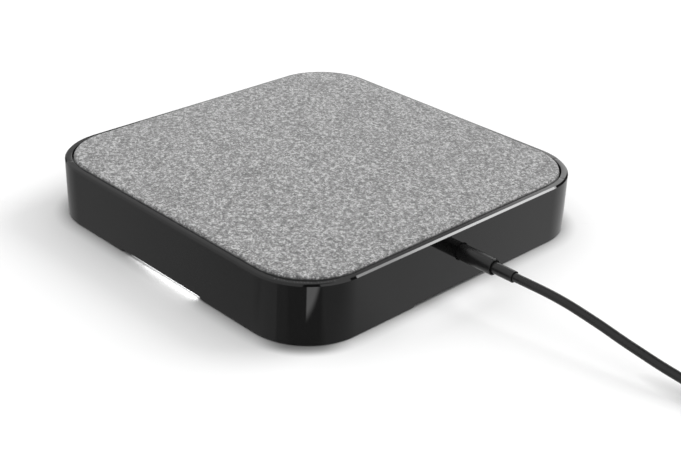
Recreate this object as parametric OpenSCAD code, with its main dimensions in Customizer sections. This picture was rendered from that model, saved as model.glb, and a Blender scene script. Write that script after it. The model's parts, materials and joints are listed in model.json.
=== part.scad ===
// Wireless charging pad: a square gloss case with a felt top, and a lead that plugs into its side.
// Millimetres. The origin is on the floor under the middle of the pad, +Z is up,
// +X points out of the side with the power inlet and -Y is the side with the status light.

/* [Case] */
// Width and depth of the square case
pad_width = 120; // [118:1:126]
// Height of the gloss side wall
case_height = 18; // [18:0.5:22]
// Radius of the upright corners
corner_radius = 19.2; // [17:0.2:24]
// Thickness of the side wall
wall = 2.2; // [1.8:0.1:2.6]
// Flat rim and bevel around the felt
rim_width = 1.7; // [1.4:0.1:2.4]
// Bevel along the top edge
bevel = 0.5; // [0.3:0.05:0.8]
// Width of the shallow cut in the lower edge of each side
relief_width = 36.8; // [36:0.4:44]
// Height of that cut
relief_height = 0.7; // [0.6:0.1:1.2]

/* [Felt top] */
// Gap between the rim and the felt
felt_gap = 0.35; // [0.2:0.05:0.6]
// Thickness of the felt on top of its plate
felt_thickness = 1.4; // [1.0:0.1:2.0]
// Height of the felt above the rim
felt_proud = 0.3; // [0.1:0.1:0.6]

/* [Charging coil] */
// Number of turns
coil_turns = 10; // [8:1:11]
// Diameter of the stranded wire
litz_diameter = 1.1; // [0.9:0.05:1.15]
// Radius of the innermost turn
coil_inner_radius = 10.9; // [10:0.1:12]

/* [Lead] */
// Diameter of the cord
cord_diameter = 2.6; // [2.4:0.1:2.8]
// Diameter of the round plug body
plug_diameter = 4.8; // [4.6:0.1:5.0]
// Length of the plug body that shows
plug_length = 12.1; // [10:0.1:14]
// Length of the strain relief
relief_length = 7.1; // [5:0.1:9]
// Turns side by side in the stored coil
bundle_columns = 3; // [2:1:3]
// Layers of turns in the stored coil
bundle_layers = 4; // [3:1:4]

/* [Hidden] */
$fn = 64;
join = 0.01;               // overlap that makes two primitives one solid
slip = 0.03;               // clearance of pieces that are pushed together

// Heights above the floor
case_bottom = 0.4;
case_top = case_bottom + case_height;
felt_top = case_top + felt_proud;
plate_thickness = 1.6;
adhesive_thickness = 0.3;
deck_thickness = 1.4;
plate_top = felt_top - felt_thickness;
plate_bottom = plate_top - plate_thickness;
deck_top = plate_bottom - adhesive_thickness;
deck_bottom = deck_top - deck_thickness;
base_bottom = 1.2;
base_thickness = 1.5;
base_top = base_bottom + base_thickness;
board_bottom = 6.6;
board_thickness = 1.6;
board_top = board_bottom + board_thickness;
inlet_height = 11.3;

// Plan sizes of the case
half = pad_width / 2;
inner_width = pad_width - 2 * wall;
inner_radius = corner_radius - wall;
wall_inside = half - wall;
recess_width = pad_width - 2 * rim_width;
recess_radius = corner_radius - rim_width;
felt_width = recess_width - 2 * felt_gap;
felt_radius = recess_radius - felt_gap;
felt_side = 1.1;
plate_width = felt_width - 2 * felt_side;
plate_radius = felt_radius - felt_side;
base_width = inner_width - 0.6;
base_radius = inner_radius - 0.3;

// Screw places
case_screws = [for (x = [-44, 44], y = [-44, 44]) [x, y]];
tray_screws_at = [for (x = [-24.5, 24.5], y = [-24.5, 24.5]) [x, y]];
board_screws_at = [[32, -31], [32, 31], [53, -31], [53, 31]];
ballast_screws_at = [[-46, -30], [-46, 30], [18, -32], [18, 32]];
light_screws_at = [[-21.5, -53], [21.5, -53]];
foot_diameter = 14;

// Coil stack, hung under the deck
sheet_thickness = 0.4;
sheet_bottom = deck_bottom - sheet_thickness;
litz_pitch = litz_diameter + 0.05;
coil_height = sheet_bottom - litz_diameter / 2 - 0.05;
coil_outer_radius = coil_inner_radius + litz_pitch * (coil_turns - 1) + litz_diameter / 2;
ferrite_top = coil_height - litz_diameter / 2 - 0.1;
ferrite_thickness = 2;
ferrite_bottom = ferrite_top - ferrite_thickness;
ferrite_half = 25;
ferrite_corner = 42;       // x + y on the cut corners
tray_half = 28;
tray_floor = 1.1;
tray_bottom = ferrite_bottom - tray_floor;
tray_post_top = tray_bottom + 2.3;
tray_wall = 1.2;
lead_slot_y = -2.8;        // middle of the slot for the inner lead
lead_slot_width = 3.4;
lead_slot_start = 5.8;

// Status light behind the cut in the -Y side
guide_half = 17.5;
guide_front = -half + 0.5;
guide_step = -half + 2.6;
guide_back = -half + 6.1;
guide_bottom = 0.5;
guide_lip = 1.05;
guide_top = 5.1;
strip_bottom = 6.3;
strip_thickness = 1;
strip_top = strip_bottom + strip_thickness;

// Power inlet and round plug, on one axis along X
plug_nose = wall_inside + 0.4;
inlet_diameter = plug_diameter + 0.6;
barrel_length = 9.5;
barrel_tip = plug_nose - barrel_length;
barrel_root = plug_nose + 3.8;
barrel_diameter = 2.5;
plug_end = half + plug_length;
relief_end = plug_end + relief_length;
relief_diameter = 3.4;
ring_gap = 0.4;            // open ring round the strain relief and round the cord
ring_depth = 0.8;
jack_front = wall_inside - 0.2;
jack_back = jack_front - 11;
jack_pin_radius = 0.3;

// Cord from the strain relief to the stored coil
cord_radius = cord_diameter / 2;
cord_start = relief_end - 0.5;
CORD_RUN = [
    [cord_start + slip, 0, 11.3], [81.4, 0, 11.3], [85, 0.2, 11.2], [90, 0.6, 10.9], [96, 1.1, 10.2],
    [102, 1.3, 9.3], [108, 1.3, 8.4], [114, 1.3, 7.3], [120, 1.4, 6.3], [126, 1.7, 5.2],
    [132, 2.2, 4.2], [140, 2.8, 2.9], [148, 3.1, 1.9], [156, 3.3, 1.4], [162, 3.3, 1.4],
    [166.7, 3.3, 1.6]
];
// Cord from the top of the stored coil to the far plug
CORD_TAIL = [
    [192.7, 29.5, 9.3], [192.7, 34, 8.4], [192.6, 39, 6.8], [192.3, 44, 5.3], [192.1, 48, 4.5],
    [192, 51, 4.3], [192, 54 - slip, 4.3]
];
bundle_centre = [176, 20];
bundle_radius = 14;
bundle_pitch = cord_diameter + 0.1;
bundle_step = cord_diameter + 0.05;
bundle_bottom = 0.6;
bundle_half = bundle_pitch * (bundle_columns - 1) / 2 + cord_radius;
bundle_height = bundle_step * (bundle_layers - 1) + cord_diameter;
tie_angle = 135;
tie_width = 5;
tie_thickness = 0.5;

// Far plug, lying along +Y
usb_x = 192;
usb_height = 4.3;
usb_start = 54;
usb_relief_length = 8;
usb_body_length = 22;
usb_body_start = usb_start + usb_relief_length;
usb_shell_start = usb_body_start + usb_body_length;
usb_shell_length = 18.7;
usb_shell_size = [12, 4.5];
usb_skin = 0.3;

// ---- Shared shapes ----

// Flat rectangle with round corners, middle at the origin
module rounded_rect(width, depth, radius) {
    square([width - 2 * radius, depth], center = true);
    square([width, depth - 2 * radius], center = true);
    for (x = [-1, 1], y = [-1, 1])
        translate([x * (width / 2 - radius), y * (depth / 2 - radius)]) circle(r = radius);
}

// Upright block on that outline, from one height to another
module rounded_block(width, radius, bottom, top) {
    translate([0, 0, bottom])
        linear_extrude(top - bottom) rounded_rect(width, width, radius);
}

// The same block whose top edge slopes in at 45 degrees over the last part of its height
module bevelled_block(width, radius, bottom, top, cut) {
    straight = width / 2 - radius;
    rounded_block(width, radius, bottom, top - cut);
    for (x = [-1, 1], y = [-1, 1])
        translate([x * straight, y * straight, top - cut]) cylinder(r1 = radius, r2 = radius - cut, h = cut);
    for (turn = [0, 90])
        rotate([0, 0, turn]) translate([0, straight, 0]) rotate([90, 0, 0])
            linear_extrude(2 * straight)
                polygon([[-width / 2, top - cut], [width / 2, top - cut],
                         [width / 2 - cut, top], [-width / 2 + cut, top]]);
}

// Round bar along +X on the inlet's axis
module inlet_bar(diameter, from, to) {
    translate([from, 0, inlet_height]) rotate([0, 90, 0]) cylinder(d = diameter, h = to - from);
}

// Pan-head screw pointing up, its head below the height given, or down when flipped
module screw(at, height, head, shaft, length, head_height, down = false) {
    translate([at[0], at[1], height]) mirror([0, 0, down ? 1 : 0]) difference() {
        union() {
            translate([0, 0, -head_height / 2]) cylinder(d = shaft, h = length + head_height / 2);
            translate([0, 0, -head_height]) cylinder(d = head, h = head_height);
        }
        for (turn = [0, 90])
            rotate([0, 0, turn]) translate([-head * 0.3, -head * 0.06, -head_height - join])
                cube([head * 0.6, head * 0.12, head_height * 0.5]);
    }
}

// Post with a blind hole that is open at its top, or at its bottom when hung
module post(at, bottom, top, outside) {
    translate([at[0], at[1], bottom]) cylinder(d = outside, h = top - bottom);
}

module hole(at, bottom, top, diameter) {
    translate([at[0], at[1], bottom]) cylinder(d = diameter, h = top - bottom);
}

// Box standing on the main board
module on_board(x, y, size) {
    translate([x - size[0] / 2, y - size[1] / 2, board_top]) cube(size);
}

// ---- Round tube swept along a smooth curve through hand-placed points ----

function unit(v) = v / norm(v);

function curve_point(p, i, t) =
    let (a = p[max(i - 1, 0)], b = p[i], c = p[i + 1], d = p[min(i + 2, len(p) - 1)])
    b + 0.5 * (t * (c - a) + t * t * (2 * a - 5 * b + 4 * c - d) + t * t * t * (3 * b - 3 * c + d - a));

function curve(p, steps) = concat(
    [for (i = [0 : len(p) - 2], k = [0 : steps - 1]) curve_point(p, i, k / steps)],
    [p[len(p) - 1]]
);

function headings(q) = [for (i = [0 : len(q) - 1]) unit(q[min(i + 1, len(q) - 1)] - q[max(i - 1, 0)])];

// Carries one sideways direction along the curve without twisting it
function carried(t, side, i = 0) =
    i == len(t) ? [] :
    let (v = unit(side - (side * t[i]) * t[i]))
    concat([v], carried(t, v, i + 1));

module tube(route, radius, steps = 2, sides = 8, side = [0, 0, 1]) {
    q = curve(route, steps);
    t = headings(q);
    n = carried(t, side);
    last = len(q) - 1;
    points = [for (i = [0 : last], s = [0 : sides - 1])
        let (turn = 360 * s / sides)
        q[i] + radius * (cos(turn) * n[i] + sin(turn) * cross(t[i], n[i]))];
    skin = [for (i = [0 : last - 1], s = [0 : sides - 1])
        let (next = (s + 1) % sides)
        [i * sides + s, (i + 1) * sides + s, (i + 1) * sides + next, i * sides + next]];
    start_cap = [for (s = [0 : sides - 1]) s];
    end_cap = [for (s = [sides - 1 : -1 : 0]) last * sides + s];
    polyhedron(points, concat(skin, [start_cap, end_cap]));
}

// ---- Case ----

// Gloss side wall and deck in one moulding, open underneath
module housing() {
    color("#1a1a1c") difference() {
        union() {
            difference() {
                bevelled_block(pad_width, corner_radius, case_bottom, case_top, bevel);
                rounded_block(inner_width, inner_radius, case_bottom - 1, deck_bottom);
                rounded_block(recess_width, recess_radius, deck_top, case_top + 1);
            }
            for (at = case_screws) post(at, base_top + 1.5, deck_bottom + join, 6);
            for (at = tray_screws_at) post(at, tray_post_top, deck_bottom + join, 5);
        }
        for (at = case_screws) hole(at, base_top + 1, deck_bottom - 2, 2.5);
        for (at = tray_screws_at) hole(at, tray_post_top - 1, deck_bottom + 0.6, 1.9);
        for (turn = [0, 90]) rotate([0, 0, turn])
            translate([-relief_width / 2, -half - 1, case_bottom - 1])
                cube([relief_width, pad_width + 2, relief_height + 1]);
        inlet_bar(inlet_diameter, wall_inside - 1, half + 1);
    }
}

// Felt stretched over the top plate and down its edges
module fabric_top() {
    color("#9a9a9a") difference() {
        rounded_block(felt_width, felt_radius, plate_bottom, felt_top);
        rounded_block(plate_width + 2 * slip, plate_radius + slip, plate_bottom - 1, plate_top);
    }
}

module top_plate() {
    color("#d8d8d2") difference() {
        rounded_block(plate_width, plate_radius, plate_bottom, plate_top);
        translate([0, 0, plate_bottom - join]) cylinder(r = coil_outer_radius + 1, h = 0.5);
    }
}

// Square ring of tape that holds the plate on the deck
module plate_adhesive() {
    color("#e8e4d0") difference() {
        rounded_block(plate_width - 2, plate_radius - 1, deck_top, plate_bottom);
        rounded_block(plate_width - 30, 6, deck_top - 1, plate_bottom + 1);
    }
}

module base_cover() {
    color("#202022") difference() {
        union() {
            rounded_block(base_width, base_radius, base_bottom, base_top);
            for (at = case_screws) post(at, base_top - join, base_top + 1.5, 9);
            for (at = board_screws_at) post(at, base_top - join, board_bottom, 5);
            for (at = ballast_screws_at) post(at, base_top - join, base_top + 2.9, 4);
            for (at = light_screws_at) post(at, base_top - join, strip_bottom, 4);
        }
        for (at = case_screws) {
            hole(at, base_bottom - 1, base_bottom + 0.6, foot_diameter + 0.2);
            hole(at, base_bottom, base_bottom + 2, 5.2);
            hole(at, base_bottom, base_top + 2, 2.8);
        }
        for (at = board_screws_at) hole(at, base_top, board_bottom + 1, 1.9);
        for (at = ballast_screws_at) hole(at, base_top - 0.5, base_top + 4, 1.9);
        for (at = light_screws_at) hole(at, base_top, strip_bottom + 1, 1.7);
        translate([-guide_half - 0.3, -half, base_bottom - 1])
            cube([2 * guide_half + 0.6, half + guide_back + 0.3, base_thickness + 2]);
        // shallow panel on the underside
        translate([0, 0, base_bottom - join])
            linear_extrude(0.3) rounded_rect(46, 30, 2);
    }
}

module rubber_feet() {
    color("#2c2c2e") for (at = case_screws)
        translate([at[0], at[1], 0]) {
            cylinder(d1 = foot_diameter - 0.8, d2 = foot_diameter, h = 0.4 + join);
            translate([0, 0, 0.4]) cylinder(d = foot_diameter, h = base_bottom + 0.2);
        }
}

module case_screws() {
    color("silver") for (at = case_screws)
        screw(at, base_bottom + 2, 4.6, 2.4, 8.5, 1.3);
}

// ---- Weight ----

module steel_ballast() {
    color("#8d9094") difference() {
        translate([-51, -37, base_top]) linear_extrude(3)
            translate([37.5, 37]) rounded_rect(75, 74, 3);
        for (at = ballast_screws_at) hole(at, base_top - 1, base_top + 4, 4.4);
    }
}

module ballast_screws() {
    color("silver") for (at = ballast_screws_at)
        screw(at, base_top + 3, 7, 1.8, 2.6, 1.1, down = true);
}

// ---- Charging coil under the deck ----

module insulating_sheet() {
    color("#c98a2b") difference() {
        translate([0, 0, sheet_bottom]) cylinder(r = coil_outer_radius + 0.8, h = sheet_thickness);
        translate([0, 0, sheet_bottom - 1]) cylinder(r = 4, h = sheet_thickness + 2);
    }
}

module charging_coil() {
    color("#b4703a") translate([0, 0, coil_height])
        for (i = [0 : coil_turns - 1]) rotate_extrude()
            translate([coil_inner_radius + litz_pitch * i, 0]) circle(d = litz_diameter, $fn = 24);
}

module ferrite_plate() {
    color("#3a3b3e") difference() {
        translate([0, 0, ferrite_bottom]) linear_extrude(ferrite_thickness) intersection() {
            square(2 * ferrite_half, center = true);
            rotate(45) square(ferrite_corner * sqrt(2), center = true);
        }
        translate([lead_slot_start, lead_slot_y - lead_slot_width / 2, ferrite_top - 1.4])
            cube([ferrite_half, lead_slot_width, 2]);
    }
}

// Shallow square dish that clamps the coil stack to the deck
module coil_tray() {
    dish_top = ferrite_top - 0.4;
    color("#e6e6e0") difference() {
        union() {
            rounded_block(2 * tray_half, 5, tray_bottom, tray_bottom + tray_floor);
            difference() {
                rounded_block(2 * tray_half, 5, tray_bottom, dish_top);
                rounded_block(2 * (tray_half - tray_wall), 4, tray_bottom + tray_floor, dish_top + 1);
            }
            for (at = tray_screws_at) post(at, tray_bottom, tray_post_top, 6);
        }
        translate([0, 0, tray_bottom - 1]) cylinder(r = 15, h = tray_floor + 2);
        for (at = tray_screws_at) {
            hole(at, tray_bottom - 1, tray_post_top + 1, 2.2);
            hole(at, tray_post_top, dish_top + 1, 5.4);
        }
        translate([ferrite_half, -6, tray_bottom + tray_floor]) cube([6, 12, 4]);
    }
}

module tray_screws() {
    color("silver") for (at = tray_screws_at)
        screw(at, tray_bottom, 4, 1.8, 5, 1.2);
}

// Bead in the middle of the coil with its pair of thin wires
module temperature_sensor() {
    color("#2f2f2f") {
        translate([4, lead_slot_y, ferrite_top]) cylinder(d = 3, h = 1);
        for (side = [0.8, 1.4])
            tube([[5.8, lead_slot_y + side, ferrite_top + 0.4], [8, lead_slot_y + side, 12.2],
                  [11, lead_slot_y + side, 11.5], [24, lead_slot_y + side, 11.4],
                  [29.5, lead_slot_y + side, 10.8], [33, lead_slot_y + side, board_top + 0.5]], 0.25, 2, 6);
    }
}

// Inner and outer ends of the coil, soldered to the board
module coil_wires() {
    color("#b4703a") {
        tube([[7.6, lead_slot_y - 0.7, coil_height], [9, lead_slot_y - 0.7, 12.4],
              [11, lead_slot_y - 0.7, 11.55], [16, lead_slot_y - 0.7, 11.5],
              [24, lead_slot_y - 0.7, 11.5], [29.5, lead_slot_y - 0.9, 10.8],
              [33, lead_slot_y - 1.2, board_top + 0.7]], 0.45, 2, 8);
        tube([[22.9, 3.4, coil_height], [25.4, 3.6, 12.95], [28, 4, 11.8], [30.5, 4, 10.2],
              [33, 4, board_top + 0.7]], 0.45, 2, 8);
    }
}

// ---- Electronics ----

module main_board() {
    color("#1f6b3a") difference() {
        translate([42.6, 0, board_bottom]) linear_extrude(board_thickness) rounded_rect(29, 68, 1.5);
        for (at = board_screws_at) hole(at, board_bottom - 1, board_top + 1, 2.3);
    }
}

module board_screws() {
    color("silver") for (at = board_screws_at)
        screw(at, board_top, 3.8, 1.8, 5, 1.2, down = true);
}

module controller_chip() {
    color("#26272a") difference() {
        on_board(41, -12, [7, 7, 0.9]);
        translate([38.7, -14.3, board_top + 0.8]) cylinder(d = 0.8, h = 1);
    }
}

module power_transistors() {
    color("#26272a") for (x = [39, 44], y = [11, 16])
        on_board(x, y, [3.3, 3.3, 1]);
}

module tuning_capacitors() {
    color("#b79c72") for (y = [9, 12.5, 16, 19.5])
        on_board(32, y, [3.2, 2.5, 2.3]);
}

module choke() {
    color("#4a4b50") difference() {
        union() {
            on_board(48, 24, [6.6, 6.6, 0.6]);
            translate([48, 24, board_top + 0.6 - join]) cylinder(d = 6, h = 3);
        }
        translate([48, 24, board_top + 3]) cylinder(d = 2.4, h = 1);
    }
}

module bulk_capacitors() {
    color("#c4c6c8") for (y = [-11, -19]) {
        on_board(51, y, [6.6, 6.6, 0.8]);
        translate([51, y, board_top + 0.8 - join]) cylinder(d = 6.3, h = 4.5);
    }
}

module power_jack() {
    color("#232427") difference() {
        translate([jack_back, -3.1, board_top]) cube([jack_front - jack_back, 6.2, 5.3]);
        inlet_bar(barrel_diameter + 0.4, jack_back + 1.4, jack_front + 1);
        inlet_bar(2 * (jack_pin_radius + slip), jack_back - 1, jack_back + 2);
        // pocket for the side spring
        translate([jack_back + 2.5, 1, inlet_height - 0.7]) cube([5.6, 1.3, 1.4]);
    }
}

module jack_pin() {
    color("#d6b25a") {
        inlet_bar(2 * jack_pin_radius, jack_back - 0.6, jack_front - 2.2);
        translate([jack_back - 0.6, -0.4, board_top]) cube([0.5, 0.8, inlet_height - board_top]);
    }
}

module jack_spring() {
    color("#d6b25a") translate([jack_back + 2.8, 1.6, inlet_height - 0.5])
        cube([5, 0.3, 1]);
}

// ---- Status light ----

module light_socket() {
    color("#ece8dc") difference() {
        on_board(40, -26, [5, 4.4, 3.6]);
        translate([38.3, -30, board_top + 0.8]) cube([3.4, 5, 2]);
    }
}

module light_board() {
    color("#1f6b3a") difference() {
        translate([-24.5, guide_step + 0.1, strip_bottom]) cube([49, 7, strip_thickness]);
        for (at = light_screws_at) hole(at, strip_bottom - 1, strip_top + 1, 2.1);
    }
}

module light_screws() {
    color("silver") for (at = light_screws_at)
        screw(at, strip_top, 3.6, 1.6, 4, 1.1, down = true);
}

module status_leds() {
    color("#f4efc8") for (x = [-11, 0, 11])
        translate([x - 1.75, guide_step + 0.6, strip_bottom - 0.9]) cube([3.5, 2.8, 0.9]);
}

module light_wires() {
    color("#c33c34") for (side = [0, 1.3])
        tube([[14 + side, -52.5, strip_top + 0.6], [18 + side, -49, 8.6], [25 + side, -42, 10],
              [33 + side, -35, 10.6], [38 + side, -31.5, 10.2], [39.3 + side, -28.4, 10]],
             0.45, 2, 6);
}

// Frosted bar with a lip that reaches out under the side wall
module light_guide() {
    color("#ffffff") translate([guide_half, 0, 0]) rotate([90, 0, -90])
        linear_extrude(2 * guide_half)
            polygon([[-guide_front, guide_bottom], [-guide_back, guide_bottom], [-guide_back, guide_top],
                     [-guide_step, guide_top], [-guide_step, guide_lip], [-guide_front, guide_lip]]);
}

// ---- Round plug ----

module barrel_sleeve() {
    color("#c9ccd0") difference() {
        inlet_bar(barrel_diameter, barrel_tip, barrel_root);
        inlet_bar(1.7, barrel_tip - 1, barrel_root + 1);
    }
}

module barrel_insulator() {
    color("#1c1c1c") difference() {
        inlet_bar(1.7 - 2 * slip, barrel_tip + 0.2, barrel_root);
        inlet_bar(1.24, barrel_tip - 1, barrel_root + 1);
    }
}

module barrel_contact() {
    color("#d6b25a") difference() {
        inlet_bar(1.24 - 2 * slip, barrel_tip + 0.4, barrel_root);
        inlet_bar(0.8, barrel_tip - 1, barrel_root - 1.5);
    }
}

module plug_body() {
    color("#2a2a2c") difference() {
        union() {
            inlet_bar(plug_diameter - 0.4, plug_nose, plug_nose + 0.2 + join);
            inlet_bar(plug_diameter, plug_nose + 0.2, plug_end);
        }
        inlet_bar(barrel_diameter + 2 * slip, plug_nose - 1, barrel_root + 0.1);
        inlet_bar(relief_diameter + 2 * ring_gap, plug_end - ring_depth, plug_end + 1);
    }
}

module strain_relief() {
    color("#2a2a2c") difference() {
        inlet_bar(relief_diameter, plug_end - ring_depth, relief_end);
        inlet_bar(cord_diameter + ring_gap, cord_start, relief_end + 1);
    }
}

// ---- Cord ----

module cord_run() {
    color("#2e2e30") tube(CORD_RUN, cord_radius);
}

// Outer shape of the turns that store the rest of the cord
module cord_bundle() {
    color("#2e2e30") translate([bundle_centre[0], bundle_centre[1], bundle_bottom + bundle_height / 2])
        rotate_extrude() translate([bundle_radius, 0])
            rounded_rect(2 * bundle_half, bundle_height, cord_radius);
}

module cord_tail() {
    color("#2e2e30") tube(CORD_TAIL, cord_radius);
}

module cord_tie() {
    inner = [2 * bundle_half + 0.8, bundle_height + 0.1];
    color("#3a3a3c") translate([bundle_centre[0], bundle_centre[1], bundle_bottom + bundle_height / 2])
        rotate([0, 0, tie_angle]) translate([bundle_radius - 0.1, tie_width / 2, 0]) rotate([90, 0, 0])
            linear_extrude(tie_width) difference() {
                rounded_rect(inner[0] + 2 * tie_thickness, inner[1] + 2 * tie_thickness, cord_radius);
                rounded_rect(inner[0], inner[1], cord_radius - tie_thickness);
            }
}

// ---- Far plug ----

// Extrusion of a flat outline along +Y, from the start given
module along_plug(start, length) {
    translate([usb_x, start, usb_height]) rotate([-90, 0, 0]) linear_extrude(length) children();
}

module usb_relief() {
    color("#2a2a2c") difference() {
        translate([usb_x, usb_start, usb_height]) rotate([-90, 0, 0])
            cylinder(d1 = 3.6, d2 = 5.2, h = usb_relief_length);
        for (y = [1.5, 3.5, 5.5])
            translate([usb_x, usb_start + y, usb_height]) rotate([-90, 0, 0]) difference() {
                cylinder(d = 8, h = 0.8);
                translate([0, 0, -1]) cylinder(d = 3.2, h = 3);
            }
    }
}

module usb_body() {
    color("#2a2a2c") difference() {
        along_plug(usb_body_start, usb_body_length) rounded_rect(15.6, 8, 2.4);
        along_plug(usb_shell_start - 4, 6)
            square([usb_shell_size[0] + 2 * slip, usb_shell_size[1] + 2 * slip], center = true);
        for (y = [5, 7.5, 10], x = [-1, 1])
            translate([usb_x + x * 7.8 - 0.3, usb_body_start + y, usb_height - 2]) cube([0.6, 1, 4]);
    }
}

module usb_shell() {
    color("#c9ccd0") difference() {
        along_plug(usb_shell_start - 4, usb_shell_length + 4) square(usb_shell_size, center = true);
        along_plug(usb_shell_start - 5, usb_shell_length + 6)
            square([usb_shell_size[0] - 2 * usb_skin, usb_shell_size[1] - 2 * usb_skin], center = true);
        for (x = [-1, 1])
            translate([usb_x + x * 2.9 - 1.25, usb_shell_start + 10.2, usb_height - 3]) cube([2.5, 2.2, 6]);
    }
}

module usb_tongue() {
    color("#f0f0ee") along_plug(usb_shell_start - 3.9, usb_shell_length + 3)
        translate([0, 1]) square([11.2, 1.8], center = true);
}

module usb_contacts() {
    color("#d6b25a") for (x = [-3.5, -1, 1, 3.5])
        translate([usb_x + x - 0.5, usb_shell_start + 5, usb_height - 0.1]) cube([1, 10, 0.2]);
}

housing();
fabric_top();
top_plate();
plate_adhesive();
base_cover();
rubber_feet();
case_screws();
steel_ballast();
ballast_screws();
insulating_sheet();
charging_coil();
ferrite_plate();
coil_tray();
tray_screws();
temperature_sensor();
coil_wires();
main_board();
board_screws();
controller_chip();
power_transistors();
tuning_capacitors();
choke();
bulk_capacitors();
power_jack();
jack_pin();
jack_spring();
light_socket();
light_board();
light_screws();
status_leds();
light_wires();
light_guide();
barrel_sleeve();
barrel_insulator();
barrel_contact();
plug_body();
strain_relief();
cord_run();
cord_bundle();
cord_tail();
cord_tie();
usb_relief();
usb_body();
usb_shell();
usb_tongue();
usb_contacts();
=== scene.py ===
import json
import math

import bmesh
import bpy
from mathutils import Matrix, Vector


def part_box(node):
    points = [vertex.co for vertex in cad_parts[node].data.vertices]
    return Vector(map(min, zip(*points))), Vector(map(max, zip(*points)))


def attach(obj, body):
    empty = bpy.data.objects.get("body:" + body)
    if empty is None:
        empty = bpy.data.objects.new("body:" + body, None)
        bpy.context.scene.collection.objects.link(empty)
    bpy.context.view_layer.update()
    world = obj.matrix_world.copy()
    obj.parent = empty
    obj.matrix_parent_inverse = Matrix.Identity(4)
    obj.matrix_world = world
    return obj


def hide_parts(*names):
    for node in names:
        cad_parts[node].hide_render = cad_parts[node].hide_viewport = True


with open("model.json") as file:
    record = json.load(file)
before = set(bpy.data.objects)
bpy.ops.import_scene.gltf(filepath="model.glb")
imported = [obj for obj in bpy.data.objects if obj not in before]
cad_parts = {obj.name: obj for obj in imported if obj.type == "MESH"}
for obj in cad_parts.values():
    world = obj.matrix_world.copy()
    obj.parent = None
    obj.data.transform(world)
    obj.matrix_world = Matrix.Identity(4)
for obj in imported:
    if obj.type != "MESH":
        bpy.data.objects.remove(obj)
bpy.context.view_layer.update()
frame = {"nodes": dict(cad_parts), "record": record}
mm = 0.001
print("frame loaded:", len(frame["nodes"]), "CAD nodes")


# camera

cameraView = {
    "target": (12.27, -0.85, 0.4),   # mm, on the floor just right of the pad's middle
    "azimuth": 45.586,
    "elevation": 27.403,
    "distance": 399.2,
    "roll": 1.797,
    "lens": 68.9,
}


def makeCamera():
    turn = math.radians(cameraView["azimuth"])
    tilt = math.radians(cameraView["elevation"])
    roll = math.radians(cameraView["roll"])
    back = Vector((math.sin(turn) * math.cos(tilt), -math.cos(turn) * math.cos(tilt), math.sin(tilt)))
    level = Vector((math.cos(turn), math.sin(turn), 0))
    plumb = back.cross(level)
    right = level * math.cos(roll) + plumb * math.sin(roll)
    up = plumb * math.cos(roll) - level * math.sin(roll)
    place = (Vector(cameraView["target"]) + back * cameraView["distance"]) * mm
    camera = bpy.data.objects.new("camera", bpy.data.cameras.new("camera"))
    bpy.context.scene.collection.objects.link(camera)
    camera.matrix_world = Matrix.Translation(place) @ Matrix((right, up, back)).transposed().to_4x4()
    camera.data.lens = cameraView["lens"]
    camera.data.clip_start = 0.01
    bpy.context.scene.camera = camera


# cord

cordShape = {
    "diameter": 2.6,
    "coilMiddle": (176, 20),
    "ringRadii": (16.7, 14.0, 11.3),     # the three turns that lie side by side
    "layerHeights": (1.9, 4.55, 7.2, 9.85),
    "turns": 11.25,
    "pointsPerTurn": 24,
    "crossing": 0.22,                    # part of a turn in which the cord moves to its next place
    "crossingBulge": 1.25,
}

# Route from the strain relief to the stored coil, and from the coil to the far plug, in metres
cordRun = [
    (0.07873, 0, 0.0113), (0.0814, 0, 0.0113), (0.085, 0.0002, 0.0112), (0.090, 0.0006, 0.0109),
    (0.096, 0.0011, 0.0102), (0.102, 0.0013, 0.0093), (0.108, 0.0013, 0.0084), (0.114, 0.0013, 0.0073),
    (0.120, 0.0014, 0.0063), (0.126, 0.0017, 0.0052), (0.132, 0.0022, 0.0042), (0.140, 0.0028, 0.0029),
    (0.148, 0.0031, 0.0019), (0.156, 0.0033, 0.0014), (0.162, 0.0033, 0.0014), (0.1667, 0.0033, 0.0016),
]
cordTail = [
    (0.1927, 0.0295, 0.0093), (0.1927, 0.034, 0.0084), (0.1926, 0.039, 0.0068), (0.1923, 0.044, 0.0053),
    (0.1921, 0.048, 0.0045), (0.192, 0.051, 0.0043), (0.192, 0.05397, 0.0043),
]


def easeInOut(t):
    return t * t * (3 - 2 * t)


def coilPoint(turn):
    # layers are wound from the outer ring in, then from the inner ring out, and so on
    radii, heights = cordShape["ringRadii"], cordShape["layerHeights"]
    rings = len(radii)

    def ringAt(index):
        layer = min(index // rings, len(heights) - 1)
        step = index % rings
        return radii[step if layer % 2 == 0 else rings - 1 - step], heights[layer]

    index = min(int(turn), int(cordShape["turns"]))
    through = max(0.0, (turn - index - 1 + cordShape["crossing"]) / cordShape["crossing"])
    (radius, height), (nextRadius, nextHeight) = ringAt(index), ringAt(index + 1)
    bulge = 0
    if nextHeight > height:
        outward = 1 if radius == radii[0] else -1
        bulge = outward * cordShape["crossingBulge"] * math.sin(math.pi * through)
    share = easeInOut(through)
    reach = radius + (nextRadius - radius) * share + bulge
    angle = math.radians(360 * turn - 90)
    middle = cordShape["coilMiddle"]
    return tuple(value * mm for value in (
        middle[0] + reach * math.cos(angle),
        middle[1] + reach * math.sin(angle),
        height + (nextHeight - height) * share,
    ))


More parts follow.
